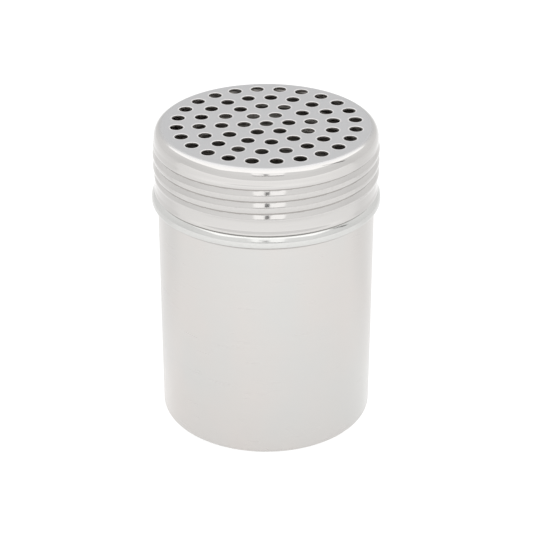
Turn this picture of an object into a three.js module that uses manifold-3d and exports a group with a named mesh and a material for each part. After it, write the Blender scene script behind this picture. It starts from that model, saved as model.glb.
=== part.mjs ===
// Stainless-steel shaker: a drawn cup with a rolled bead and a threaded neck, and a perforated screw lid.
// Millimetres, +Z up along the axis, origin at the centre of the foot, the viewer's side at -Y.
// The lid turns counter-clockwise seen from above and climbs one pitch a turn. It is one pressing, kept
// here as two meshes, the lid and its hem, because the hem only climbs and the rest also turns.

import * as THREE from 'three';
import { mergeVertices } from 'three/addons/utils/BufferGeometryUtils.js';
import Module from 'manifold-3d';

// Driving dimensions, millimetres
const overall_height = 96.1;
const sheet = 0.45;

// Cup
const cup_radius = 33;
const foot_corner_radius = 1.5;
const foot_ring_width = 3;
const base_rise = 0.6;
const base_slope_width = 3;

// Bead: a shoulder, a tight nose, an almost upright face and a round underside
const bead_proud = 1.85;
const bead_shoulder_radius = 2.8;
const bead_nose_radius = 0.6;
const bead_face_radius = 8;
const bead_under_radius = 1.2;
const bead_shoulder_end = THREE.MathUtils.degToRad(26);
const bead_nose_end = THREE.MathUtils.degToRad(-3);
const bead_face_end = THREE.MathUtils.degToRad(-15);

// Neck above the bead
const neck_step = 0.5;
const neck_thread_height = 0.5;
const neck_plain_below_thread = 4;
const neck_plain_above_thread = 5.8;
const neck_thread_runout = 1.2;
const rim_gap = 0.4;
const rim_curl_radius = 1.2;

// Lid. Its clearance is from the neck's plain wall to the inside of the lid's.
const lid_height = 20.25;
const lid_clearance = 0.8;
const lid_corner_radius = 2.6;
const lid_shoulder_radius = 4.5;
const lid_corner_end = THREE.MathUtils.degToRad(25);
const lid_seat_gap = 0.3;
const lid_crest_proud = 0.45;
const lid_root_depth = 0.5;
const lid_plain_above_hem = 3.9;
const lid_low_runout = 1.4;
const lid_plain_below_top = 3.5;
const lid_high_runout = 2.2;
const hem_height = 1.65;
const hem_proud = 0.35;
const hem_lip_radius = 0.42;
const hem_inside_lift = 0.25;

// Thread shared by the neck and the lid, right-handed. The upper flanks are shorter and rounder at the crest.
const thread_pitch = 3.8;
const crest_above_hem = 2.4;
const upper_flank_share = 0.44;
const upper_flank_power = 1.6;
const lower_flank_power = 2;

// Perforation
const hole_diameter = 4;
const hole_rings = 4;
const holes_per_ring_step = 6;
const plain_border_width = 4.1;
const hole_pattern_turn = THREE.MathUtils.degToRad(6.5);
const cut_overrun = 1;

// Fineness of the facets
const segments = 52;
const corner_steps = 3;
const shoulder_steps = 2;
const bead_steps = 2;
const curl_steps = 4;
const rim_curl_turn = THREE.MathUtils.degToRad(200);
const hem_steps = 3;
const hole_sides = 10;
const quarter_turn = Math.PI / 2;

// Places that follow from the sizes
const hem_bottom_z = overall_height - lid_height;
const hem_top_z = hem_bottom_z + hem_height;
const rim_top_z = overall_height - sheet - rim_gap;
const neck_radius = cup_radius - neck_step;
const lid_radius = neck_radius + lid_clearance + sheet;
const crest_z_at_zero = hem_bottom_z + crest_above_hem;

// Hem lip, plate corner and the shoulder below it, each as the centre of its round
const lip = point(lid_radius + hem_proud - hem_lip_radius, hem_bottom_z + hem_lip_radius);
const plate_radius = chainedCentre(
  point(lid_radius - lid_shoulder_radius, 0),
  lid_shoulder_radius,
  lid_corner_radius,
  lid_corner_end,
).radius;
const corner = point(plate_radius, overall_height - lid_corner_radius);
const lid_shoulder = chainedCentre(corner, lid_corner_radius, lid_shoulder_radius, lid_corner_end);
const hole_ring_spacing = (plate_radius - plain_border_width) / hole_rings;

// Bead's rounds from the top down. Its shoulder comes no nearer to the hem's round lip than the seat gap.
const bead_shoulder_centre_radius = chainedCentre(
  point(cup_radius + bead_proud - bead_nose_radius, 0),
  bead_nose_radius,
  bead_shoulder_radius,
  bead_shoulder_end,
).radius;
const lip_offset = lip.radius - bead_shoulder_centre_radius;
const lip_distance = bead_shoulder_radius + lid_seat_gap + hem_lip_radius;
const bead_shoulder = point(
  bead_shoulder_centre_radius,
  lip.z - Math.sqrt(lip_distance ** 2 - lip_offset ** 2),
);
const bead_nose = chainedCentre(bead_shoulder, bead_shoulder_radius, bead_nose_radius, bead_shoulder_end);
const bead_face = chainedCentre(bead_nose, bead_nose_radius, bead_face_radius, bead_nose_end);
const bead_under = chainedCentre(bead_face, bead_face_radius, bead_under_radius, bead_face_end);
const bead_top_z = bead_shoulder.z + bead_shoulder_radius;
const bead_bottom_z = bead_under.z - bead_under_radius;

const lid_thread_low_z = hem_bottom_z + lid_plain_above_hem;
const lid_thread_high_z = overall_height - lid_plain_below_top;
const neck_thread_low_z = bead_top_z + neck_plain_below_thread;
const neck_thread_high_z = rim_top_z - neck_plain_above_thread;

// Heights of the thread's points in one pitch, from a crest up: crest, upper flank, root, lower flank
const level_shares = [0, upper_flank_share / 2, upper_flank_share, (1 + upper_flank_share) / 2];

// A point of a sheet's outline, in the half plane through the axis
function point(radius, z) {
  return { radius, z };
}

// An arc of an outline, from one angle to another, measured from the outward direction
function arc(centre, radius, from, to, steps) {
  return Array.from({ length: steps + 1 }, (_, i) => {
    const angle = from + ((to - from) * i) / steps;
    return point(centre.radius + radius * Math.cos(angle), centre.z + radius * Math.sin(angle));
  });
}

// The centre of the round that carries on from another where their outline has a given tilt
function chainedCentre(centre, radius, nextRadius, tilt) {
  const step = radius - nextRadius;
  return point(centre.radius + step * Math.cos(tilt), centre.z + step * Math.sin(tilt));
}

// Rises smoothly from nought to one between two heights
function ease(z, low, high) {
  const t = THREE.MathUtils.clamp((z - low) / (high - low), 0, 1);
  return t * t * (3 - 2 * t);
}

// One where the thread is at full height, falling to nought over its run-outs
function runout(z, low, lowHeight, high, highHeight) {
  return ease(z, low, low + lowHeight) * (1 - ease(z, high - highHeight, high));
}

// The rolled thread form: one on a crest, nought on a root, and round between them
function threadForm(azimuth, z) {
  const turns = (z - crest_z_at_zero) / thread_pitch - azimuth / (2 * Math.PI);
  const above_crest = turns - Math.floor(turns);
  if (above_crest < upper_flank_share) return 1 - (above_crest / upper_flank_share) ** upper_flank_power;
  return 1 - ((1 - above_crest) / (1 - upper_flank_share)) ** lower_flank_power;
}

// Outside of the lid's skirt
function lidRadius(azimuth, z) {
  const height = (lid_crest_proud + lid_root_depth) * threadForm(azimuth, z) - lid_root_depth;
  const share = runout(z, lid_thread_low_z, lid_low_runout, lid_thread_high_z, lid_high_runout);
  return lid_radius + height * share;
}

// Outside of the cup's neck
function neckRadius(azimuth, z) {
  const height = neck_thread_height * threadForm(azimuth, z);
  const share = runout(z, neck_thread_low_z, neck_thread_runout, neck_thread_high_z, neck_thread_runout);
  return neck_radius + height * share;
}

// A stretch of wall that carries the thread. Its points follow the crests, roots and flanks round.
function threadedWall(low, high, rising, radiusAt) {
  return { low, high, rising, radiusAt };
}

// The points of an outline at one azimuth. A threaded wall gives one point for each level it crosses there.
function stationsAt(outline, azimuth) {
  const stations = [];
  outline.forEach((item, place) => {
    if (!item.radiusAt) {
      stations.push({ place, level: 0, rising: false, radius: item.radius, z: item.z });
      return;
    }
    const start = crest_z_at_zero + (thread_pitch * azimuth) / (2 * Math.PI);
    const first_turn = Math.floor((item.low - start) / thread_pitch);
    const last_turn = Math.floor((item.high - start) / thread_pitch);
    const levels = [];
    for (let turn = first_turn; turn <= last_turn; turn++) {
      level_shares.forEach((share, i) => {
        const z = start + thread_pitch * (turn + share);
        const level = turn * level_shares.length + i;
        if (z <= item.low || z >= item.high) return;
        levels.push({ place, level, rising: item.rising, radius: item.radiusAt(azimuth, z), z });
      });
    }
    stations.push(...(item.rising ? levels : levels.reverse()));
  });
  return stations;
}

// Which of two stations comes first along the outline: negative, nought or positive
function order(a, b) {
  if (a.place !== b.place) return a.place - b.place;
  return a.rising ? a.level - b.level : b.level - a.level;
}

// A closed sheet-metal body from an outline that starts and ends on the axis, running outwards inside,
// and down outside. Neighbouring columns of stations are joined level to level, so the thread's
// facets follow the helix, and the last column meets the first one pitch further on.
function sheetBody(outline) {
  const columns = Array.from({ length: segments }, (_, i) => {
    const azimuth = (2 * Math.PI * i) / segments;
    return stationsAt(outline, azimuth).map((s) => ({
      ...s,
      at: [s.radius * Math.cos(azimuth), s.radius * Math.sin(azimuth), s.z],
    }));
  });
  const onePitchOn = (s) => (outline[s.place].radiusAt ? { ...s, level: s.level - level_shares.length } : s);
  columns.push(columns[0].map(onePitchOn));

  const positions = [];
  const addTriangle = (a, b, c) => {
    const onAxis = [a, b, c].filter((s) => s.radius === 0);
    if (onAxis.length < 2) positions.push(...a.at, ...b.at, ...c.at);
  };
  for (let i = 0; i < segments; i++) {
    const [left, right] = [columns[i], columns[i + 1]];
    let [l, r] = [0, 0];
    while (l < left.length - 1 || r < right.length - 1) {
      const leftDone = l === left.length - 1;
      const rightDone = r === right.length - 1;
      const next = leftDone ? 1 : rightDone ? -1 : order(left[l + 1], right[r + 1]);
      if (next <= 0) {
        addTriangle(left[l], left[l + 1], right[r]);
        l++;
      }
      if (next >= 0) {
        addTriangle(left[l], right[r + 1], right[r]);
        r++;
      }
    }
  }
  const geometry = new THREE.BufferGeometry();
  geometry.setAttribute('position', new THREE.Float32BufferAttribute(positions, 3));
  return geometry;
}

const wasm = await Module();
wasm.setup();

function toSolid(geometry) {
  const bare = geometry.clone();
  bare.deleteAttribute('normal');
  bare.deleteAttribute('uv');
  const merged = mergeVertices(bare);
  return new wasm.Manifold(new wasm.Mesh({
    numProp: 3,
    vertProperties: new Float32Array(merged.attributes.position.array),
    triVerts: new Uint32Array(merged.index.array),
  }));
}

function toGeometry(solid) {
  const mesh = solid.getMesh();
  const geometry = new THREE.BufferGeometry();
  geometry.setAttribute('position', new THREE.BufferAttribute(mesh.vertProperties, 3));
  geometry.setIndex(new THREE.BufferAttribute(mesh.triVerts, 1));
  return geometry;
}

// The cup's sheet: up the inside from the middle of the base, over the curled rim and down the outside
function cupOutline() {
  const inside = cup_radius - sheet;
  const foot = point(cup_radius - foot_corner_radius, foot_corner_radius);
  const ring_inner_radius = foot.radius - foot_ring_width;
  const dish_radius = ring_inner_radius - base_slope_width;
  const curl = point(neck_radius - rim_curl_radius, rim_top_z - rim_curl_radius);
  const insideNeck = (azimuth, z) => neckRadius(azimuth, z) - sheet;

  // the bead from the neck down, with a skin's depth inside its outside
  const bead = (depth) => {
    const shoulder_radius = bead_shoulder_radius - depth;
    const neck_tilt = Math.acos((neck_radius - depth - bead_shoulder.radius) / shoulder_radius);
    return [
      ...arc(bead_shoulder, shoulder_radius, neck_tilt, bead_shoulder_end, shoulder_steps),
      ...arc(bead_nose, bead_nose_radius - depth, bead_shoulder_end, bead_nose_end, 1).slice(1),
      ...arc(bead_face, bead_face_radius - depth, bead_nose_end, bead_face_end, 1).slice(1),
      ...arc(bead_under, bead_under_radius - depth, bead_face_end, -quarter_turn, bead_steps).slice(1),
    ];
  };

  return [
    point(0, base_rise + sheet),
    point(dish_radius, base_rise + sheet),
    point(ring_inner_radius, sheet),
    ...arc(foot, foot_corner_radius - sheet, -quarter_turn, 0, corner_steps),
    point(inside, bead_bottom_z + sheet),
    ...bead(sheet).reverse(),
    point(neck_radius - sheet, neck_thread_low_z),
    threadedWall(neck_thread_low_z, neck_thread_high_z, true, insideNeck),
    point(neck_radius - sheet, neck_thread_high_z),
    ...arc(curl, rim_curl_radius - sheet, 0, rim_curl_turn, curl_steps),
    ...arc(curl, rim_curl_radius, rim_curl_turn, 0, curl_steps),
    point(neck_radius, neck_thread_high_z),
    threadedWall(neck_thread_low_z, neck_thread_high_z, false, neckRadius),
    point(neck_radius, neck_thread_low_z),
    ...bead(0),
    point(cup_radius, bead_bottom_z),
    ...arc(foot, foot_corner_radius, 0, -quarter_turn, corner_steps),
    point(ring_inner_radius, 0),
    point(dish_radius, base_rise),
    point(0, base_rise),
  ];
}

// The lid's sheet down to its hem: down the outside from the middle of the plate, and up the inside
function lidOutline() {
  const insideLid = (azimuth, z) => lidRadius(azimuth, z) - sheet;
  return [
    point(0, overall_height),
    ...arc(corner, lid_corner_radius, quarter_turn, lid_corner_end, corner_steps),
    ...arc(lid_shoulder, lid_shoulder_radius, lid_corner_end, 0, shoulder_steps).slice(1),
    point(lidRadius(0, lid_thread_high_z), lid_thread_high_z),
    threadedWall(lid_thread_low_z, lid_thread_high_z, false, lidRadius),
    point(lidRadius(0, lid_thread_low_z), lid_thread_low_z),
    point(lidRadius(0, hem_top_z), hem_top_z),
    point(lidRadius(0, hem_top_z) - sheet, hem_top_z),
    point(lidRadius(0, lid_thread_low_z) - sheet, lid_thread_low_z),
    threadedWall(lid_thread_low_z, lid_thread_high_z, true, insideLid),
    point(lidRadius(0, lid_thread_high_z) - sheet, lid_thread_high_z),
    ...arc(lid_shoulder, lid_shoulder_radius - sheet, 0, lid_corner_end, shoulder_steps),
    ...arc(corner, lid_corner_radius - sheet, lid_corner_end, quarter_turn, corner_steps).slice(1),
    point(0, overall_height - sheet),
  ];
}

// One cutter for each hole, in rings about the one in the middle
function holeCutters() {
  const height = sheet + 2 * cut_overrun;
  const cutters = [];
  for (let ring = 0; ring <= hole_rings; ring++) {
    const count = Math.max(1, holes_per_ring_step * ring);
    for (let i = 0; i < count; i++) {
      const azimuth = hole_pattern_turn + (2 * Math.PI * i) / count;
      const distance = hole_ring_spacing * ring;
      const cutter = new THREE.CylinderGeometry(hole_diameter / 2, hole_diameter / 2, height, hole_sides);
      cutter.rotateX(quarter_turn);
      cutter.translate(
        distance * Math.cos(azimuth),
        distance * Math.sin(azimuth),
        overall_height - sheet / 2,
      );
      cutters.push(toSolid(cutter));
    }
  }
  return cutters;
}

function makeCup() {
  return sheetBody(cupOutline());
}

function makeLid() {
  let lid = toSolid(sheetBody(lidOutline()));
  for (const cutter of holeCutters()) lid = lid.subtract(cutter);
  return toGeometry(lid);
}

// The lid's lower edge: the skirt flares, and its folded edge ends in a round lip just above the bead
function makeHem() {
  const outside = lidRadius(0, hem_top_z);
  const inside = outside - sheet;
  const flare = Array.from({ length: hem_steps + 1 }, (_, i) => {
    const t = i / hem_steps;
    return point(outside + hem_proud * ease(t, 0, 1), THREE.MathUtils.lerp(hem_top_z, lip.z, t));
  });
  const outline = [
    point(inside, hem_bottom_z + hem_inside_lift),
    ...arc(lip, hem_lip_radius, -quarter_turn, 0, hem_steps),
    ...flare.reverse().slice(1),
    point(inside, hem_top_z),
    point(inside, hem_bottom_z + hem_inside_lift),
  ];
  const profile = outline.map((p) => new THREE.Vector2(p.radius, p.z));
  const geometry = new THREE.LatheGeometry(profile, segments);
  geometry.rotateX(quarter_turn);
  return geometry;
}

// Brushed and buffed stainless sheet, a little brighter on the cup than on the satin lid
function stainless(color, roughness) {
  return new THREE.MeshStandardMaterial({ color, roughness, metalness: 1 });
}

function addMesh(group, name, geometry, material) {
  const mesh = new THREE.Mesh(geometry, material);
  geometry.computeVertexNormals();
  mesh.name = name;
  group.add(mesh);
}

const shaker = new THREE.Group();
addMesh(shaker, 'cup', makeCup(), stainless(0xdcdbd9, 0.28));
addMesh(shaker, 'lid', makeLid(), stainless(0xcbc9cb, 0.32));
addMesh(shaker, 'lid_hem', makeHem(), stainless(0xd6d4d2, 0.3));

export default shaker;
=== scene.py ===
"""Stainless-steel shaker: a drawn cup with a rolled bead and a threaded neck, and a perforated screw lid."""

import math

import bpy
from bpy.props import FloatProperty, FloatVectorProperty, IntProperty, PointerProperty
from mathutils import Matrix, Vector


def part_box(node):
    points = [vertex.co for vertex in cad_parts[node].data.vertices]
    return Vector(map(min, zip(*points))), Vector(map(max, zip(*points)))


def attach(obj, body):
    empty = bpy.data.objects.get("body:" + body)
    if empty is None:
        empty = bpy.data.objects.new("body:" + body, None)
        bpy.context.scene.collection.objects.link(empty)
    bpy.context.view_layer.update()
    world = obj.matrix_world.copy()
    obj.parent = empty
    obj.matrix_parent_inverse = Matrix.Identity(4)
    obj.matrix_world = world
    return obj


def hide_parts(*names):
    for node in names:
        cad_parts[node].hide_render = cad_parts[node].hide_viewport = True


bl_info = {
    "name": "Stainless Shaker",
    "version": (1, 0, 0),
    "blender": (4, 5, 0),
    "location": "3D View > Sidebar > Shaker",
    "description": "Builds a drawn stainless cup and its perforated screw lid around the packed frame",
    "category": "Add Mesh",
}

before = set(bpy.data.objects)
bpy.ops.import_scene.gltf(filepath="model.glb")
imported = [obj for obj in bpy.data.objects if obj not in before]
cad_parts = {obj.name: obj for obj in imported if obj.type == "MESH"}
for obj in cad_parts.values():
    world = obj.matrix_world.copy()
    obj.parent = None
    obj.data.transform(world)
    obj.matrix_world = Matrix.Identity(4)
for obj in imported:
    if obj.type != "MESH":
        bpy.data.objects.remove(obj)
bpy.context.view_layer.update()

mm = 0.001
quarter_turn = math.pi / 2
full_turn = 2 * math.pi
sharp_edge = math.radians(40)
steps_round_shaker = 256
steps_round_hole = 32

# Heights that the solids set.
rim_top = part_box("cup")[1].z
lid_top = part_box("lid")[1].z
hem_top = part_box("lid_hem")[1].z
hem_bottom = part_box("lid_hem")[0].z


def length(name, description, millimetres):
    """A length that the sidebar shows in millimetres."""
    return FloatProperty(
        name=name, description=description, default=millimetres * mm, min=0,
        unit="LENGTH", subtype="DISTANCE", precision=5,
    )


def angle(name, description, degrees):
    """An angle that the sidebar shows in degrees."""
    return FloatProperty(name=name, description=description, default=math.radians(degrees), subtype="ANGLE")


def share(name, description, value):
    """A share between nought and one."""
    return FloatProperty(name=name, description=description, default=value, min=0, max=1, subtype="FACTOR")


def number(name, description, value):
    """A plain number."""
    return FloatProperty(name=name, description=description, default=value, min=0)


def linear(hex_colour):
    """The linear colour of an sRGB hex value, as shaders want it."""
    shares = [int(hex_colour[i:i + 2], 16) / 255 for i in (1, 3, 5)]
    return [*(s / 12.92 if s <= 0.04045 else ((s + 0.055) / 1.055) ** 2.4 for s in shares), 1]


def colour(name, description, hex_colour):
    """A colour that the sidebar shows as a swatch."""
    return FloatVectorProperty(
        name=name, description=description, default=linear(hex_colour), subtype="COLOR", size=4, min=0, max=1,
    )


class ShakerCup(bpy.types.PropertyGroup):
    """Sizes of the cup"""
    sheet: length("Sheet", "Thickness of the steel", 0.45)
    wall_radius: length("Wall radius", "Outside of the straight wall", 33)
    foot_corner_radius: length("Foot corner", "Radius between the wall and the standing ring", 1.5)
    foot_ring_width: length("Foot ring", "Width of the ring that the cup stands on", 3)
    base_rise: length("Base rise", "Height of the middle of the base above the ring", 0.6)
    base_slope_width: length("Base slope", "Width of the slope up to the middle of the base", 3)
    bead_proud: length("Bead", "How far the bead stands out of the wall", 1.84)
    bead_shoulder_radius: length("Bead shoulder", "Radius of the bead's upper side", 3.7)
    bead_shoulder_end: angle("Bead shoulder end", "Tilt at which the shoulder becomes the nose", 26)
    bead_nose_radius: length("Bead nose", "Radius of the round from the shoulder to the face", 0.8)
    bead_nose_end: angle("Bead nose end", "Tilt at which the nose becomes the face", 8)
    bead_face_radius: length("Bead face", "Radius of the almost upright face under the nose", 8)
    bead_face_end: angle("Bead face end", "Tilt at which the face becomes the underside", 0)
    bead_under_radius: length("Bead underside", "Radius of the bead's underside", 0.97)
    neck_step: length("Neck step", "How far the neck stands in from the wall", 0.5)
    neck_thread_height: length("Neck thread", "Height of the neck's ridges", 0.5)
    neck_plain_below: length("Plain neck below", "Plain neck between the bead and the ridges", 4)
    neck_plain_above: length("Plain neck above", "Plain neck between the ridges and the rim", 5.8)
    rim_curl_radius: length("Rim curl", "Radius of the rim, which curls inwards", 1.2)
    rim_curl_turn: angle("Rim curl turn", "How far round the rim curls", 200)


class ShakerLid(bpy.types.PropertyGroup):
    """Sizes of the lid and its holes"""
    clearance: length("Clearance", "From the neck's plain outside to the lid's inside", 0.8)
    corner_radius: length("Corner", "Radius between the plate and the shoulder", 2.52)
    corner_end: angle("Corner end", "Tilt at which the corner becomes the shoulder", 25.9)
    shoulder_radius: length("Shoulder", "Radius between the corner and the skirt", 4.8)
    crest_proud: length("Crest", "How far the ridges stand out of the skirt", 0.4)
    root_depth: length("Root", "How far the roots lie in from the skirt", 0.42)
    plain_above_hem: length("Plain skirt below", "From the bottom of the solid hem to the ridges", 3.9)
    low_runout: length("Lower run-out", "Height over which the lowest ridge dies away", 1.4)
    plain_below_top: length("Plain skirt above", "Plain skirt between the ridges and the plate", 3.8)
    high_runout: length("Upper run-out", "Height over which the highest ridge dies away", 2.4)
    hem_proud: length("Hem", "How far the folded hem stands out of the skirt", 0.25)
    hem_lip_radius: length("Hem lip", "Radius of the hem's lower edge", 0.45)
    hem_reach: length("Hem reach", "How far the lip reaches below the solid hem", 0.27)
    hem_inside_lift: length("Hem inside", "How far the inner edge lies above the solid hem's bottom", 0.25)
    seat_gap: length("Seat gap", "Between the full rounds of the hem's lip and the bead's shoulder", 0.06)
    hole_diameter: length("Hole", "Diameter of each hole", 4)
    hole_roll: length("Hole roll", "Radius that punching leaves round the top of a hole", 0.1)
    # The ring round each hole carries a painted highlight for the light that the punched edge catches.
    hole_rim: length("Hole rim", "Width of the ring round a hole that deburring has brightened", 0.3)
    plain_border: length("Plain border", "From the outer ring of holes to the corner", 4.1)
    hole_rings: IntProperty(name="Rings", description="Rings of holes round the middle one", default=4, min=1)
    ring_step: IntProperty(name="Ring step", description="Holes that each ring adds", default=6, min=1)
    pattern_turn: angle("Pattern turn", "How far the pattern is turned about the axis", 6.15)
    pattern_back: length("Pattern back", "How far behind the axis the pattern was punched", 0.45)
    pattern_side: length("Pattern side", "How far to the right the pattern was punched", 0.1)


class ShakerThread(bpy.types.PropertyGroup):
    """Sizes of the thread that the neck and the lid share"""
    pitch: length("Pitch", "Height of one turn", 3.8)
    crest_above_hem: length("Crest height", "Height of a crest at +X above the bottom of the solid hem", 2.25)
    upper_flank: share("Upper flank", "Share of the pitch that a ridge's upper flank takes", 0.36)
    upper_power: number("Upper roundness", "How full the upper flank is: 1 is straight, 2 is round", 1.18)
    lower_power: number("Lower roundness", "How full the lower flank is: 1 is straight, 2 is round", 2.29)
    neck_runout: length("Neck run-out", "Height over which the neck's ridges die away", 1.2)
    row_height: length("Row height", "Height between the rows of points that form the ridges", 0.11)


class ShakerFinish(bpy.types.PropertyGroup):
    """Colours of the steel"""
    wall: colour("Wall", "Steel of the cup's wall and bead", "#c8c4c1")
    wall_cool: colour("Cool wall", "Steel of the wall where its tint drifts", "#c5c4c2")
    # Partly real, partly painted light: the bead is smoother, and its lighter colour is a painted sheen for
    # its brighter reflection.
    bead: colour("Bead", "Steel of the bead, which hands have rubbed bright", "#c8c8c6")
    # Painted shade: a darker colour that paints the shade in the crease under the bead.
    painted_shade_under_bead: colour("Residue", "Steel under the bead, where the mop leaves a dark line of polish", "#9a9693")
    skirt: colour("Skirt", "Steel of the lid's rolled skirt and hem", "#c4c2c0")
    plate: colour("Plate", "Steel of the lid's satin plate", "#bfbfc0")
    # Painted highlight: this lighter colour round each hole stands in for the light that the punched edge
    # catches.
    rim: colour("Rim", "Steel of the ring round each hole, which deburring has brightened", "#e4e2e2")
    scuff: colour("Scuff", "Steel where handling has dulled an edge", "#aeaba8")
    inside: colour("Inside", "Steel inside, as it left the press", "#bcb8b3")


class ShakerStage(bpy.types.PropertyGroup):
    """Place of the camera, and the light from the floor and all round"""
    camera_distance: length("Camera distance", "From the shaker's axis to the camera, level", 472.4)
    camera_height: length("Camera height", "From the floor to the camera", 302)
    camera_side: length("Camera side", "How far the camera stands to the right of the axis", 0.11)
    camera_pitch: angle("Camera pitch", "How far down the camera looks", 28.29)
    lens: length("Lens", "Focal length on a 36 mm sensor", 116.12)
    floor_half_width: length("Floor", "Half the width of the floor", 3000)
    floor_colour: colour("Floor colour", "White acrylic of the floor", "#a0a0a0")
    floor_glow_edge: number("Edge glow", "Light that comes up from beyond the lit floor's front edge", 0.69)
    floor_glow_far: number("Far glow", "Light that comes up through the floor well in front", 1.03)
    floor_glow_near: number("Near glow", "Light that comes up through the floor just in front", 0.855)
    floor_glow_side: number("Side glow", "Light that comes up through the floor beside the shaker", 0.77)
    floor_glow_rear: number("Rear glow", "Light that comes up through the floor behind the shaker", 0.63)
    front_light: number("Front light", "Soft light from the camera's side", 1.22)
    rear_light: number("Rear light", "Soft light from behind the shaker", 0.95)
    corner_light: number("Corner light", "How much more light comes from both rear corners", 0.15)
    horizon_light: share("Horizon light", "Share of the soft light left near the horizon", 0.95)


# A point of an outline is (distance from the axis, height).
def arc(centre, radius, start, end, steps):
    """A round stretch of an outline, with its angles measured from the outward direction."""
    turns = [start + (end - start) * i / steps for i in range(steps + 1)]
    return [(centre[0] + radius * math.cos(a), centre[1] + radius * math.sin(a)) for a in turns]


def ease(value, low, high):
    """Rises smoothly from nought to one between two values."""
    t = min(max((value - low) / (high - low), 0), 1)
    return t * t * (3 - 2 * t)


def rows(radius, start, end, spacing):
    """An upright stretch of an outline, cut into rows."""
    count = max(1, math.ceil(abs(end - start) / spacing))
    return [(radius, start + (end - start) * i / count) for i in range(count + 1)]


def draw(name, outline):
    """Starts a piece as one point of its outline, and extrudes it along the rest. It stays in edit mode."""
    bpy.ops.object.select_all(action="DESELECT")
    bpy.ops.mesh.primitive_plane_add(size=mm, location=(outline[0][0], 0, outline[0][1]))
    bpy.ops.object.transform_apply(location=True, rotation=False, scale=False)
    piece = bpy.context.object
    piece.name = piece.data.name = name
    bpy.ops.object.mode_set(mode="EDIT")
    bpy.ops.mesh.select_mode(type="VERT")
    bpy.ops.mesh.select_all(action="SELECT")
    bpy.ops.mesh.merge(type="CENTER")
    for (radius, z), (next_radius, next_z) in zip(outline, outline[1:]):
        step = (next_radius - radius, 0, next_z - z)
        bpy.ops.mesh.extrude_region_move(TRANSFORM_OT_translate={"value": step})
    return piece


def spin(steps):
    """Spins the drawn outline once round the upright axis, and joins its ends. Leaves edit mode."""
    bpy.ops.mesh.select_all(action="SELECT")
    bpy.ops.mesh.spin(steps=steps, angle=full_turn, center=(0, 0, 0), axis=(0, 0, 1))
    close()


def close():
    """Joins points that lie together, turns all faces outwards, and leaves edit mode."""
    bpy.ops.mesh.select_all(action="SELECT")
    bpy.ops.mesh.remove_doubles(threshold=0.002 * mm)
    bpy.ops.mesh.normals_make_consistent(inside=False)
    bpy.ops.object.mode_set(mode="OBJECT")


def smooth(piece):
    """Shades a piece smooth, but for its sharp edges."""
    bpy.ops.object.select_all(action="DESELECT")
    piece.select_set(True)
    bpy.context.view_layer.objects.active = piece
    bpy.ops.object.shade_smooth_by_angle(angle=sharp_edge)


def roll_thread(piece, height_at):
    """Presses the thread into a spun wall: each point moves out or in by the ridge's height there."""
    for vertex in piece.data.vertices:
        radius = math.hypot(vertex.co.x, vertex.co.y)
        if radius > 0:
            height = height_at(math.atan2(vertex.co.y, vertex.co.x), vertex.co.z)
            vertex.co.xy *= (radius + height) / radius
    piece.data.update()


def thread_form(thread, azimuth, z):
    """One on a crest, nought on a root, and round between them."""
    crest = hem_bottom + thread.crest_above_hem
    turns = (z - crest) / thread.pitch - azimuth / full_turn
    above_crest = turns - math.floor(turns)
    if above_crest < thread.upper_flank:
        return 1 - (above_crest / thread.upper_flank) ** thread.upper_power
    return 1 - ((1 - above_crest) / (1 - thread.upper_flank)) ** thread.lower_power


def run_out(z, low, low_height, high, high_height):
    """One where the thread is at full height, falling to nought over its run-outs."""
    return ease(z, low, low + low_height) * (1 - ease(z, high - high_height, high))


def carry_on(centre, radius, next_radius, tilt):
    """The centre of the round that carries on from another where the outline has a given tilt."""
    step = radius - next_radius
    return (centre[0] + step * math.cos(tilt), centre[1] + step * math.sin(tilt))


def skirt_radius(scene):
    """Outside of the lid's plain skirt, which is fitted to the cup's neck."""
    cup = scene.shaker_cup
    return cup.wall_radius - cup.neck_step + scene.shaker_lid.clearance + cup.sheet


def hem_lip(scene):
    """The centre of the round lip at the lid's lower edge."""
    lid = scene.shaker_lid
    height = hem_bottom - lid.hem_reach + lid.hem_lip_radius
    return (skirt_radius(scene) + lid.hem_proud - lid.hem_lip_radius, height)


def finish_piece(piece, node, body):
    """Hangs a piece on its body in the node's stead."""
    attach(piece, body)
    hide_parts(node)


def add_node(tree, kind, inputs=None, output=0, **settings):
    """Adds a node with its settings, links or sets its inputs, and gives one of its outputs."""
    made = tree.nodes.new(kind)
    for name, value in settings.items():
        setattr(made, name, value)
    for name, value in (inputs or {}).items():
        if isinstance(value, bpy.types.NodeSocket):
            tree.links.new(value, made.inputs[name])
        else:
            made.inputs[name].default_value = value
    return made.outputs[output]


def start_metal(name):
    """A new metal, its node tree, its shader and the place of each point in millimetres of real size."""
    material = bpy.data.materials.new(name)
    material.use_nodes = True
    tree = material.node_tree
    shader = tree.nodes["Principled BSDF"]
    shader.inputs["Metallic"].default_value = 1
    metres = add_node(tree, "ShaderNodeTexCoord", output="Object")
    place = add_node(tree, "ShaderNodeMapping", {"Vector": metres, "Scale": (1000, 1000, 1000)})
    return material, tree, shader, place


def pattern(tree, place, widths, detail, turn=(0, 0, 0)):
    """Noise whose features are given widths along each axis, in millimetres."""
    scale = [1 / width for width in widths]
    stretched = add_node(tree, "ShaderNodeMapping", {"Vector": place, "Rotation": turn, "Scale": scale})
    inputs = {"Vector": stretched, "Scale": 1, "Detail": detail, "Roughness": 0.55}
    return add_node(tree, "ShaderNodeTexNoise", inputs, "Fac")


def from_axis(tree, place):
    """How far each point lies from the shaker's axis, in millimetres."""
    level = add_node(tree, "ShaderNodeVectorMath", {0: place, 1: (1, 1, 0)}, operation="MULTIPLY")
    return add_node(tree, "ShaderNodeVectorMath", {0: level}, "Value", operation="LENGTH")


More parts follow.
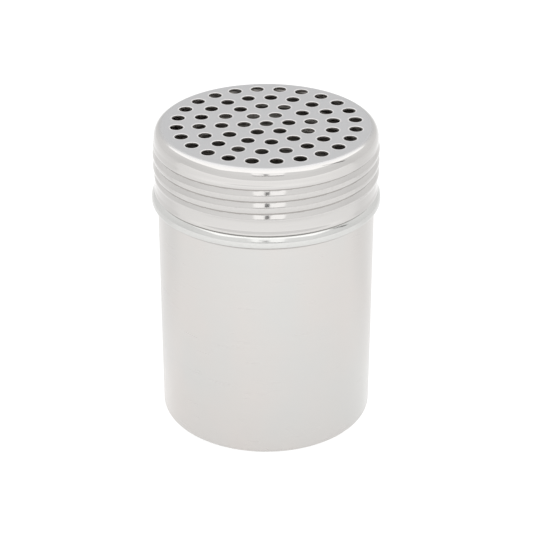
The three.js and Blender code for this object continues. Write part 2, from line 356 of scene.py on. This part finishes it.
def wear(tree, place, stands_out):
    """Fine scuffs where a mask says that an edge stands out, and a few hairline scratches anywhere."""
    rubbed = pattern(tree, place, (1.2, 1.2, 0.5), 4)
    scuffs = add_node(tree, "ShaderNodeMapRange", {"Value": rubbed, "From Min": 0.45, "From Max": 0.65})
    worn = add_node(tree, "ShaderNodeMath", {0: scuffs, 1: stands_out}, operation="MULTIPLY")
    # A real hairline is about 0.02 mm wide. It is drawn about 0.1 mm wide, so that it shows.
    hairline = pattern(tree, place, (14, 14, 0.25), 0, (0.5, 0.25, 0))
    ranges = {"Value": hairline, "From Min": 0.78, "From Max": 0.84, "To Max": 0.5}
    scratches = add_node(tree, "ShaderNodeMapRange", ranges)
    return add_node(tree, "ShaderNodeMath", {0: worn, 1: scratches}, operation="MAXIMUM")


def finish_metal(tree, shader, tint, roughness, worn, relief, scuff, depth):
    """Joins a metal's tint, roughness, wear and relief to its shader.

    Where the steel is worn, its tint goes a third of the way to the scuff's, and it is a little duller.
    """
    share_worn = add_node(tree, "ShaderNodeMath", {0: worn, 1: 0.35}, operation="MULTIPLY")
    shown = add_node(tree, "ShaderNodeMix", {0: share_worn, 6: tint, 7: scuff}, 2, data_type="RGBA")
    tree.links.new(shown, shader.inputs["Base Color"])
    dulled = add_node(tree, "ShaderNodeMath", {0: worn, 1: 0.12, 2: roughness}, operation="MULTIPLY_ADD")
    tree.links.new(dulled, shader.inputs["Roughness"])
    bump = add_node(tree, "ShaderNodeBump", {"Height": relief, "Distance": depth * mm, "Strength": 1})
    tree.links.new(bump, shader.inputs["Normal"])


def buffed_stainless(scene, bead_bottom):
    """Drawn 304 stainless, buffed on a mop as the cup turns.

    The eye gets broad, soft reflections, very fine level lines, a tint that drifts a little between warm
    and cool, a smoother bead with a painted sheen, edges on the bead and the foot that handling has dulled in
    places, and a painted shade line in the corner under the bead.
    """
    finish = scene.shaker_finish
    cup = scene.shaker_cup
    wall = cup.wall_radius / mm
    proud = cup.bead_proud / mm
    material, tree, shader, place = start_metal("buffed_stainless_304")
    distance = from_axis(tree, place)
    height = add_node(tree, "ShaderNodeSeparateXYZ", {"Vector": place}, "Z")
    # The mop's lines lie about 0.03 mm apart. They are drawn about 0.4 mm apart, so that they show.
    lines = pattern(tree, place, (60, 60, 0.4), 3)
    clouds = pattern(tree, place, (22, 22, 34), 2)
    drift = add_node(tree, "ShaderNodeMapRange", {"Value": clouds, "From Min": 0.35, "From Max": 0.65})
    steel = {0: drift, 6: finish.wall, 7: finish.wall_cool}
    drawn = add_node(tree, "ShaderNodeMix", steel, 2, data_type="RGBA")
    ranges = {"Value": distance, "From Min": wall, "From Max": wall + 0.3 * proud}
    on_bead = add_node(tree, "ShaderNodeMapRange", ranges)
    # The bead's lighter colour is a painted sheen. Its smoother finish comes from the roughness below.
    tint = add_node(tree, "ShaderNodeMix", {0: on_bead, 6: drawn, 7: finish.bead}, 2, data_type="RGBA")
    ranges = {"Value": lines, "From Min": 0.7, "From Max": 0.3, "To Max": 0.05}
    shade = add_node(tree, "ShaderNodeMapRange", ranges)
    shaded = add_node(tree, "ShaderNodeMix", {0: shade, 6: tint, 7: finish.scuff}, 2, data_type="RGBA")
    # Painted shade: the corner under the bead's nose, down to the wall, takes the darker painted shade
    # colour.
    under = cup.bead_under_radius / mm
    bottom = bead_bottom / mm
    ranges = {"Value": height, "From Min": bottom + 0.6 * under, "From Max": bottom + 0.2 * under}
    below_nose = add_node(tree, "ShaderNodeMapRange", ranges)
    ranges = {"Value": height, "From Min": bottom - under, "From Max": bottom - 0.4 * under}
    above_wall = add_node(tree, "ShaderNodeMapRange", ranges)
    corner = add_node(tree, "ShaderNodeMath", {0: below_nose, 1: above_wall}, operation="MINIMUM")
    steel = {0: corner, 6: shaded, 7: finish.painted_shade_under_bead}
    with_painted_shade = add_node(tree, "ShaderNodeMix", steel, 2, data_type="RGBA")
    ranges = {"Value": distance, "From Min": wall + 0.6 * proud, "From Max": wall + proud, "To Max": 0.4}
    bead_edge = add_node(tree, "ShaderNodeMapRange", ranges)
    ranges = {"Value": height, "From Min": 1.5 * cup.foot_corner_radius / mm, "From Max": 0}
    foot_edge = add_node(tree, "ShaderNodeMapRange", ranges)
    edges = add_node(tree, "ShaderNodeMath", {0: bead_edge, 1: foot_edge}, operation="MAXIMUM")
    polish = add_node(tree, "ShaderNodeMapRange", {"Value": on_bead, "To Min": 0.18, "To Max": 0.08})
    smudges = pattern(tree, place, (9, 9, 12), 2)
    smudged = add_node(tree, "ShaderNodeMath", {0: smudges, 1: 0.07, 2: polish}, operation="MULTIPLY_ADD")
    roughness = add_node(tree, "ShaderNodeMath", {0: lines, 1: 0.04, 2: smudged}, operation="MULTIPLY_ADD")
    finish_metal(tree, shader, with_painted_shade, roughness, wear(tree, place, edges), lines, finish.scuff, 0.003)
    return material


def satin_stainless(scene):
    """Pressed 304 stainless: the plate keeps the satin of rolled sheet, and rollers have burnished the skirt.

    The eye gets an even, slightly violet grey on the plate, with faint straight grain, and almost
    mirror-bright bands on the skirt, with level roller lines and dulled crests.
    """
    finish = scene.shaker_finish
    lid = scene.shaker_lid
    skirt = skirt_radius(scene) / mm
    corner = lid.corner_radius / mm
    crest = lid.crest_proud / mm
    material, tree, shader, place = start_metal("satin_stainless_304")
    distance = from_axis(tree, place)
    ranges = {"Value": distance, "From Min": skirt - corner, "From Max": skirt - 0.5 * corner}
    burnished = add_node(tree, "ShaderNodeMapRange", ranges)
    # The grain's lines lie about 0.02 mm apart. They are drawn about 0.35 mm apart, so that they show.
    grain = pattern(tree, place, (12, 0.35, 12), 3)
    lines = pattern(tree, place, (60, 60, 0.4), 3)
    relief = add_node(tree, "ShaderNodeMix", {0: burnished, 2: grain, 3: lines}, data_type="FLOAT")
    satin = add_node(tree, "ShaderNodeMath", {0: grain, 1: 0.08, 2: 0.28}, operation="MULTIPLY_ADD")
    smudges = pattern(tree, place, (9, 9, 5), 2)
    polish = add_node(tree, "ShaderNodeMath", {0: smudges, 1: 0.07, 2: 0.05}, operation="MULTIPLY_ADD")
    roughness = add_node(tree, "ShaderNodeMix", {0: burnished, 2: satin, 3: polish}, data_type="FLOAT")
    steel = {0: burnished, 6: finish.plate, 7: finish.skirt}
    tint = add_node(tree, "ShaderNodeMix", steel, 2, data_type="RGBA")
    ranges = {"Value": relief, "From Min": 0.7, "From Max": 0.3, "To Max": 0.06}
    shade = add_node(tree, "ShaderNodeMapRange", ranges)
    shaded = add_node(tree, "ShaderNodeMix", {0: shade, 6: tint, 7: finish.scuff}, 2, data_type="RGBA")
    ranges = {"Value": distance, "From Min": skirt + 0.4 * crest, "From Max": skirt + crest, "To Max": 0.7}
    crests = add_node(tree, "ShaderNodeMapRange", ranges)
    finish_metal(tree, shader, shaded, roughness, wear(tree, place, crests), relief, finish.scuff, 0.002)
    return material


def rim_highlight_stainless(scene):
    """Satin stainless round each hole, with a painted highlight where the punched edge catches the light.

    The eye gets a narrow, lighter ring round every hole, which is painted highlight, with fine marks in it.
    """
    finish = scene.shaker_finish
    material, tree, shader, place = start_metal("deburred_stainless_304")
    marks = pattern(tree, place, (0.3, 0.3, 0.3), 2)
    ranges = {"Value": marks, "From Min": 0.7, "From Max": 0.3, "To Max": 0.15}
    shade = add_node(tree, "ShaderNodeMapRange", ranges)
    # The ring's lighter colour is a painted highlight.
    tint = add_node(tree, "ShaderNodeMix", {0: shade, 6: finish.rim, 7: finish.scuff}, 2, data_type="RGBA")
    roughness = add_node(tree, "ShaderNodeMath", {0: marks, 1: 0.1, 2: 0.18}, operation="MULTIPLY_ADD")
    finish_metal(tree, shader, tint, roughness, wear(tree, place, 0), marks, finish.scuff, 0.002)
    return material


def pressed_stainless(scene):
    """Stainless as it left the press: inside, where nothing was buffed.

    The eye gets a darker, duller grey, with upright marks where the sheet slid over the die.
    """
    finish = scene.shaker_finish
    material, tree, shader, place = start_metal("pressed_stainless_304")
    # The die's marks are about 0.05 mm wide. They are drawn about 0.5 mm wide, so that they show.
    marks = pattern(tree, place, (0.5, 0.5, 30), 3)
    ranges = {"Value": marks, "From Min": 0.7, "From Max": 0.3, "To Max": 0.3}
    shade = add_node(tree, "ShaderNodeMapRange", ranges)
    tint = add_node(tree, "ShaderNodeMix", {0: shade, 6: finish.inside, 7: finish.scuff}, 2, data_type="RGBA")
    clouds = pattern(tree, place, (6, 6, 6), 2)
    roughness = add_node(tree, "ShaderNodeMath", {0: clouds, 1: 0.2, 2: 0.4}, operation="MULTIPLY_ADD")
    finish_metal(tree, shader, tint, roughness, wear(tree, place, 0), marks, finish.scuff, 0.004)
    return material


def line_inside(piece, is_inside):
    """Gives a piece's inner faces its second finish."""
    for face in piece.data.polygons:
        outwards = face.normal.xy.dot(face.center.xy.normalized())
        if is_inside(outwards, face.normal.z, face.center.z):
            face.material_index = 1


class SHAKER_OT_cup(bpy.types.Operator):
    """Spins the cup: base, wall, bead, threaded neck and curled rim"""
    bl_idname = "shaker.cup"
    bl_label = "Cup"
    bl_options = {"REGISTER", "UNDO"}

    def execute(self, context):
        scene = context.scene
        cup = scene.shaker_cup
        thread = scene.shaker_thread
        neck_radius = cup.wall_radius - cup.neck_step
        neck_inside = neck_radius - cup.sheet
        foot = (cup.wall_radius - cup.foot_corner_radius, cup.foot_corner_radius)
        ring_inner_radius = foot[0] - cup.foot_ring_width
        dish_radius = ring_inner_radius - cup.base_slope_width
        curl = (neck_radius - cup.rim_curl_radius, rim_top - cup.rim_curl_radius)
        bead, bead_top, bead_bottom = self.bead(scene, neck_radius)
        low = bead_top + cup.neck_plain_below
        high = rim_top - cup.neck_plain_above

        outline = [
            (0, cup.base_rise + cup.sheet),
            (dish_radius, cup.base_rise + cup.sheet),
            (ring_inner_radius, cup.sheet),
            *arc(foot, cup.foot_corner_radius - cup.sheet, -quarter_turn, 0, 8),
            (cup.wall_radius - cup.sheet, bead_bottom + cup.sheet),
            *reversed(bead(cup.sheet)),
            *rows(neck_inside, low, high, thread.row_height * 2),
            *arc(curl, cup.rim_curl_radius - cup.sheet, 0, cup.rim_curl_turn, 14),
            *arc(curl, cup.rim_curl_radius, cup.rim_curl_turn, 0, 14),
            *rows(neck_radius, high, low, thread.row_height * 2),
            *bead(0),
            (cup.wall_radius, bead_bottom),
            *arc(foot, cup.foot_corner_radius, 0, -quarter_turn, 10),
            (ring_inner_radius, 0),
            (dish_radius, cup.base_rise),
            (0, cup.base_rise),
        ]
        piece = draw("cup_shell", outline)
        spin(steps_round_shaker)

        def height_at(azimuth, z):
            height = cup.neck_thread_height * thread_form(thread, azimuth, z)
            return height * run_out(z, low, thread.neck_runout, high, thread.neck_runout)

        roll_thread(piece, height_at)
        smooth(piece)
        piece.data.materials.append(buffed_stainless(scene, bead_bottom))
        piece.data.materials.append(pressed_stainless(scene))
        base_top = cup.foot_corner_radius
        # Inside are the faces turned to the axis, and the top of the base.
        line_inside(piece, lambda outwards, upwards, z: outwards < -0.05 or upwards > 0 and z < base_top)
        finish_piece(piece, "cup", "cup")
        return {"FINISHED"}

    def bead(self, scene, neck_radius):
        """The bead from the neck down, for a given depth in its sheet, and its top and bottom heights."""
        cup = scene.shaker_cup
        radii = (cup.bead_shoulder_radius, cup.bead_nose_radius, cup.bead_face_radius, cup.bead_under_radius)
        tilts = (cup.bead_shoulder_end, cup.bead_nose_end, cup.bead_face_end, -quarter_turn)
        counts = (22, 8, 4, 10)
        face = (cup.wall_radius + cup.bead_proud - cup.bead_face_radius, 0)
        nose = carry_on(face, radii[2], radii[1], tilts[1])
        shoulder_radius = carry_on(nose, radii[1], radii[0], tilts[0])[0]
        lip = hem_lip(scene)
        reach = radii[0] + scene.shaker_lid.seat_gap + scene.shaker_lid.hem_lip_radius
        centres = [(shoulder_radius, lip[1] - math.sqrt(reach ** 2 - (lip[0] - shoulder_radius) ** 2))]
        for i, tilt in enumerate(tilts[:-1]):
            centres.append(carry_on(centres[i], radii[i], radii[i + 1], tilt))

        def outline(depth):
            start = math.acos((neck_radius - depth - centres[0][0]) / (radii[0] - depth))
            points = []
            for centre, radius, end, steps in zip(centres, radii, tilts, counts):
                points += arc(centre, radius - depth, start, end, steps)[1 if points else 0:]
                start = end
            return points

        return outline, centres[0][1] + radii[0], centres[-1][1] - radii[-1]


class SHAKER_OT_lid(bpy.types.Operator):
    """Spins the lid's skirt, presses its thread and fills the plate between its punched holes"""
    bl_idname = "shaker.lid"
    bl_label = "Lid"
    bl_options = {"REGISTER", "UNDO"}

    def execute(self, context):
        scene = context.scene
        cup = scene.shaker_cup
        lid = scene.shaker_lid
        thread = scene.shaker_thread
        outside = skirt_radius(scene)
        inside = outside - cup.sheet
        shoulder_centre = (outside - lid.shoulder_radius, 0)
        plate_radius = carry_on(shoulder_centre, lid.shoulder_radius, lid.corner_radius, lid.corner_end)[0]
        corner = (plate_radius, lid_top - lid.corner_radius)
        shoulder = carry_on(corner, lid.corner_radius, lid.shoulder_radius, lid.corner_end)
        # The outline stops a little way into the plate, which is filled when its holes are in place.
        plate_edge = plate_radius - lid.plain_border / 8
        low = hem_bottom + lid.plain_above_hem
        high = lid_top - lid.plain_below_top
        under = lid_top - cup.sheet

        outline = [
            (plate_edge, lid_top),
            *arc(corner, lid.corner_radius, quarter_turn, lid.corner_end, 16),
            *arc(shoulder, lid.shoulder_radius, lid.corner_end, 0, 8)[1:],
            *rows(outside, high, low, thread.row_height),
            *rows(outside, low, hem_top, mm),
            *rows(inside, hem_top, low, mm),
            *rows(inside, low, high, thread.row_height * 2),
            *arc(shoulder, lid.shoulder_radius - cup.sheet, 0, lid.corner_end, 5),
            *arc(corner, lid.corner_radius - cup.sheet, lid.corner_end, quarter_turn, 10)[1:],
            (plate_edge, under),
        ]
        piece = draw("lid_shell", outline)
        spin(steps_round_shaker)

        def height_at(azimuth, z):
            height = (lid.crest_proud + lid.root_depth) * thread_form(thread, azimuth, z) - lid.root_depth
            return height * run_out(z, low, lid.low_runout, high, lid.high_runout)

        roll_thread(piece, height_at)
        for steel in (satin_stainless, pressed_stainless, rim_highlight_stainless):
            piece.data.materials.append(steel(scene))
        # Inside are the faces turned to the axis and, once the plate is filled, its underside.
        line_inside(piece, lambda outwards, upwards, z: outwards < -0.05)
        self.punch_holes(piece, lid, plate_radius, under)
        line_inside(piece, lambda outwards, upwards, z: upwards < -0.9)
        smooth(piece)
        finish_piece(piece, "lid", "lid")
        return {"FINISHED"}

    def punch_holes(self, piece, lid, plate_radius, under):
        """Joins a collar for each hole to the lid, and fills the plate's two sides between them."""
        radius = lid.hole_diameter / 2
        roll = (radius + lid.hole_roll, lid_top - lid.hole_roll)
        outline = [
            (radius + lid.hole_roll + lid.hole_rim, lid_top),
            *arc(roll, lid.hole_roll, quarter_turn, 2 * quarter_turn, 5),
            (radius, under),
            (radius + lid.hole_rim, under),
        ]
        collar = draw("hole_collar", outline)
        spin(steps_round_hole)
        for finish in piece.data.materials:
            collar.data.materials.append(finish)
        # The collar's top carries the hole rim's painted highlight, and the rest of it is as it left the
        # press.
        for face in collar.data.polygons:
            face.material_index = 2 if face.normal.z > 0.2 else 1
        spacing = (plate_radius - lid.plain_border) / lid.hole_rings
        collars = []
        for ring in range(lid.hole_rings + 1):
            count = max(1, lid.ring_step * ring)
            for i in range(count):
                azimuth = lid.pattern_turn + full_turn * i / count
                made = collar.copy()
                made.data = collar.data.copy()
                out = spacing * ring
                made.location.x = out * math.cos(azimuth) + lid.pattern_side
                made.location.y = out * math.sin(azimuth) + lid.pattern_back
                bpy.context.collection.objects.link(made)
                collars.append(made)
        bpy.data.objects.remove(collar)
        bpy.ops.object.select_all(action="DESELECT")
        for made in collars:
            made.select_set(True)
        piece.select_set(True)
        bpy.context.view_layer.objects.active = piece
        bpy.ops.object.join()
        bpy.ops.object.mode_set(mode="EDIT")
        bpy.ops.mesh.select_mode(type="EDGE")
        for side in (lid_top, under):
            bpy.ops.mesh.select_all(action="DESELECT")
            bpy.ops.mesh.select_non_manifold(use_wire=False, use_multi_face=False, use_verts=False)
            bpy.ops.object.mode_set(mode="OBJECT")
            points = piece.data.vertices
            for edge in piece.data.edges:
                heights = [points[v].co.z for v in edge.vertices]
                edge.select = edge.select and all(abs(z - side) < 0.01 * mm for z in heights)
            bpy.ops.object.mode_set(mode="EDIT")
            bpy.ops.mesh.fill(use_beauty=True)
        close()


class SHAKER_OT_hem(bpy.types.Operator):
    """Spins the lid's folded hem, which climbs with the lid"""
    bl_idname = "shaker.hem"
    bl_label = "Hem"
    bl_options = {"REGISTER", "UNDO"}

    def execute(self, context):
        scene = context.scene
        lid = scene.shaker_lid
        outside = skirt_radius(scene)
        inside = outside - scene.shaker_cup.sheet
        lip = hem_lip(scene)
        flare_steps = 12
        shares = [i / flare_steps for i in range(flare_steps)]
        flare = [(outside + lid.hem_proud * ease(t, 0, 1), hem_top + (lip[1] - hem_top) * t) for t in shares]
        outline = [
            *flare,
            *arc(lip, lid.hem_lip_radius, 0, -quarter_turn, 10),
            (inside, hem_bottom + lid.hem_inside_lift),
            (inside, hem_top),
            (outside, hem_top),
        ]
        piece = draw("hem_ring", outline)
        spin(steps_round_shaker)
        smooth(piece)
        piece.data.materials.append(satin_stainless(scene))
        finish_piece(piece, "lid_hem", "lid_hem")
        return {"FINISHED"}


class SHAKER_OT_stage(bpy.types.Operator):
    """Lays the floor, hangs the lights and aims the camera"""
    bl_idname = "shaker.stage"
    bl_label = "Stage"
    bl_options = {"REGISTER", "UNDO"}

    def execute(self, context):
        stage = context.scene.shaker_stage
        self.aim_camera(context, stage)
        self.lay_floor(stage)
        self.light(context, stage)
        return {"FINISHED"}

    def aim_camera(self, context, stage):
        """Sets the camera at the photograph's height and distance, looking down at the shaker."""
        place = (stage.camera_side, -stage.camera_distance, stage.camera_height)
        turn = (quarter_turn - stage.camera_pitch, 0, 0)
        bpy.ops.object.camera_add(location=place, rotation=turn)
        camera = context.object
        camera.data.sensor_width = 36
        camera.data.lens = stage.lens / mm
        context.scene.camera = camera

    def lay_floor(self, stage):
        """A floor of white acrylic with light under it, which stays white right up to the foot."""
        bpy.ops.mesh.primitive_plane_add(size=2 * stage.floor_half_width)
        floor = bpy.context.object
        floor.name = "floor"
        acrylic = bpy.data.materials.new("white_acrylic")
        acrylic.use_nodes = True
        tree = acrylic.node_tree
        shader = tree.nodes["Principled BSDF"]
        shader.inputs["Base Color"].default_value = stage.floor_colour
        shader.inputs["Specular IOR Level"].default_value = 0
        shader.inputs["Emission Color"].default_value = (1, 1, 1, 1)
        place = add_node(tree, "ShaderNodeTexCoord", output="Object")
        rearwards = add_node(tree, "ShaderNodeSeparateXYZ", {"Vector": place}, "Y")
        # Each stretch runs between two distances behind the axis, in metres. It adds its third value to the
        # glow up to its start, and its fourth value from its end on.
        stretches = (
            (-0.6, -0.53, stage.floor_glow_edge, stage.floor_glow_far),
            (-0.5, -0.15, 0, stage.floor_glow_near - stage.floor_glow_far),
            (-0.15, 0, 0, stage.floor_glow_side - stage.floor_glow_near),
            (0, 0.045, 0, stage.floor_glow_rear - stage.floor_glow_side),
        )
        glow = 0
        for start, end, at_start, at_end in stretches:
            ranges = {"Value": rearwards, "From Min": start, "From Max": end}
            ranges |= {"To Min": at_start, "To Max": at_end}
            step = add_node(tree, "ShaderNodeMapRange", ranges)
            glow = add_node(tree, "ShaderNodeMath", {0: glow, 1: step}, operation="ADD")
        tree.links.new(glow, shader.inputs["Emission Strength"])
        grain = add_node(tree, "ShaderNodeTexNoise", {"Vector": place, "Scale": 40, "Detail": 2}, "Fac")
        gloss = add_node(tree, "ShaderNodeMapRange", {"Value": grain, "To Min": 0.8, "To Max": 1})
        tree.links.new(gloss, shader.inputs["Roughness"])
        floor.data.materials.append(acrylic)

    def light(self, context, stage):
        """Soft light all round, a large light overhead, and a softbox on its stand behind the camera."""
        world = bpy.data.worlds.new("studio")
        world.use_nodes = True
        tree = world.node_tree
        direction = add_node(tree, "ShaderNodeTexCoord", output="Generated")
        rearwards = add_node(tree, "ShaderNodeSeparateXYZ", {"Vector": direction}, "Y")
        upwards = add_node(tree, "ShaderNodeSeparateXYZ", {"Vector": direction}, "Z")
        sideways = add_node(tree, "ShaderNodeSeparateXYZ", {"Vector": direction}, "X")
        ranges = {"Value": rearwards, "From Min": -0.8, "From Max": 0.8}
        ranges |= {"To Min": stage.front_light, "To Max": stage.rear_light}
        depth = add_node(tree, "ShaderNodeMapRange", ranges)
        aside = add_node(tree, "ShaderNodeMath", {0: sideways}, operation="ABSOLUTE")
        aside = add_node(tree, "ShaderNodeMapRange", {"Value": aside, "From Min": 0.3, "From Max": 0.6})
        behind = add_node(tree, "ShaderNodeMapRange", {"Value": rearwards, "From Max": 0.5})
        cornerwards = add_node(tree, "ShaderNodeMath", {0: aside, 1: behind}, operation="MULTIPLY")
        sums = {0: cornerwards, 1: stage.corner_light, 2: 1}
        corners = add_node(tree, "ShaderNodeMath", sums, operation="MULTIPLY_ADD")
        ranges = {"Value": upwards, "From Min": 0.3, "From Max": 0.5, "To Min": stage.horizon_light}
        horizon = add_node(tree, "ShaderNodeMapRange", ranges)
        level = add_node(tree, "ShaderNodeMath", {0: depth, 1: corners}, operation="MULTIPLY")
        strength = add_node(tree, "ShaderNodeMath", {0: level, 1: horizon}, operation="MULTIPLY")
        tree.links.new(strength, tree.nodes["Background"].inputs["Strength"])
        tree.nodes["Background"].inputs["Color"].default_value = (1, 1, 1, 1)
        context.scene.world = world
        self.hang_light("overhead", 0.67, bearing=180, elevation=80, distance=1.05, size=(2, 1.76))
        self.hang_light("softbox", 0.42, bearing=2.15, elevation=43.5, distance=1.5, size=(0.72, 0.86))
        self.hang_card("rail", "#202020", bearing=2.15, elevation=25.6, size=(0.72, 0.08))
        self.hang_card("stand", "#606060", bearing=91, elevation=45, size=(0.12, 0.7))
        self.hang_card("arm", "#808080", bearing=-1.3, elevation=46, size=(0.17, 0.06))
        self.hang_card("lamp_head", "#808080", bearing=-0.2, elevation=36.5, size=(0.1, 0.3))

    def face_shaker(self, thing, bearing, elevation, distance):
        """Places a thing as seen from a point 80 mm up the shaker's axis, facing that point.

        The bearing is in degrees from the front towards the right, the elevation in degrees above level,
        and the distance in metres.
        """
        turn = math.radians(bearing)
        rise = math.radians(elevation)
        level = math.cos(rise) * distance
        offset = Vector((math.sin(turn) * level, -math.cos(turn) * level, math.sin(rise) * distance))
        thing.location = Vector((0, 0, 0.08)) + offset
        thing.rotation_euler = offset.to_track_quat("Z", "Y").to_euler()

    def hang_light(self, name, radiance, bearing, elevation, distance, size):
        """Hangs a soft light of a given radiance."""
        bpy.ops.object.light_add(type="AREA")
        lamp = bpy.context.object
        lamp.name = name
        self.face_shaker(lamp, bearing, elevation, distance)
        lamp.data.shape = "RECTANGLE"
        lamp.data.size = size[0]
        lamp.data.size_y = size[1]
        lamp.data.energy = radiance * math.pi * size[0] * size[1]
        lamp.visible_camera = False

    def hang_card(self, name, tone, bearing, elevation, size):
        """Hangs a dark card a little nearer than the softbox. It shows only in the steel."""
        paper = bpy.data.materials.new(name)
        paper.use_nodes = True
        paper.node_tree.nodes["Principled BSDF"].inputs["Base Color"].default_value = linear(tone)
        bpy.ops.mesh.primitive_plane_add(size=1)
        card = bpy.context.object
        card.name = name
        card.scale = (*size, 1)
        self.face_shaker(card, bearing, elevation, distance=1.45)
        card.data.materials.append(paper)
        card.visible_camera = False
        card.visible_diffuse = False
        card.visible_shadow = False


class SHAKER_PT_panel(bpy.types.Panel):
    """Lists what builds the shaker"""
    bl_idname = "SHAKER_PT_panel"
    bl_label = "Shaker"
    bl_space_type = "VIEW_3D"
    bl_region_type = "UI"
    bl_category = "Shaker"

    def draw(self, context):
        for operator in operators:
            self.layout.operator(operator.bl_idname)
        for name, group in groups.items():
            box = self.layout.box()
            box.label(text=group.__doc__)
            for size in group.__annotations__:
                box.prop(getattr(context.scene, name), size)


operators = (SHAKER_OT_cup, SHAKER_OT_lid, SHAKER_OT_hem, SHAKER_OT_stage)
groups = {
    "shaker_cup": ShakerCup,
    "shaker_lid": ShakerLid,
    "shaker_thread": ShakerThread,
    "shaker_finish": ShakerFinish,
    "shaker_stage": ShakerStage,
}
classes = (*groups.values(), *operators, SHAKER_PT_panel)


def register():
    for made in classes:
        bpy.utils.register_class(made)
    for name, group in groups.items():
        setattr(bpy.types.Scene, name, PointerProperty(type=group))


def unregister():
    for name in groups:
        delattr(bpy.types.Scene, name)
    for made in reversed(classes):
        bpy.utils.unregister_class(made)


def main():
    register()
    bpy.context.scene.view_settings.view_transform = "Standard"
    bpy.ops.shaker.cup()
    bpy.ops.shaker.lid()
    bpy.ops.shaker.hem()
    bpy.ops.shaker.stage()


if __name__ == "__main__":
    main()
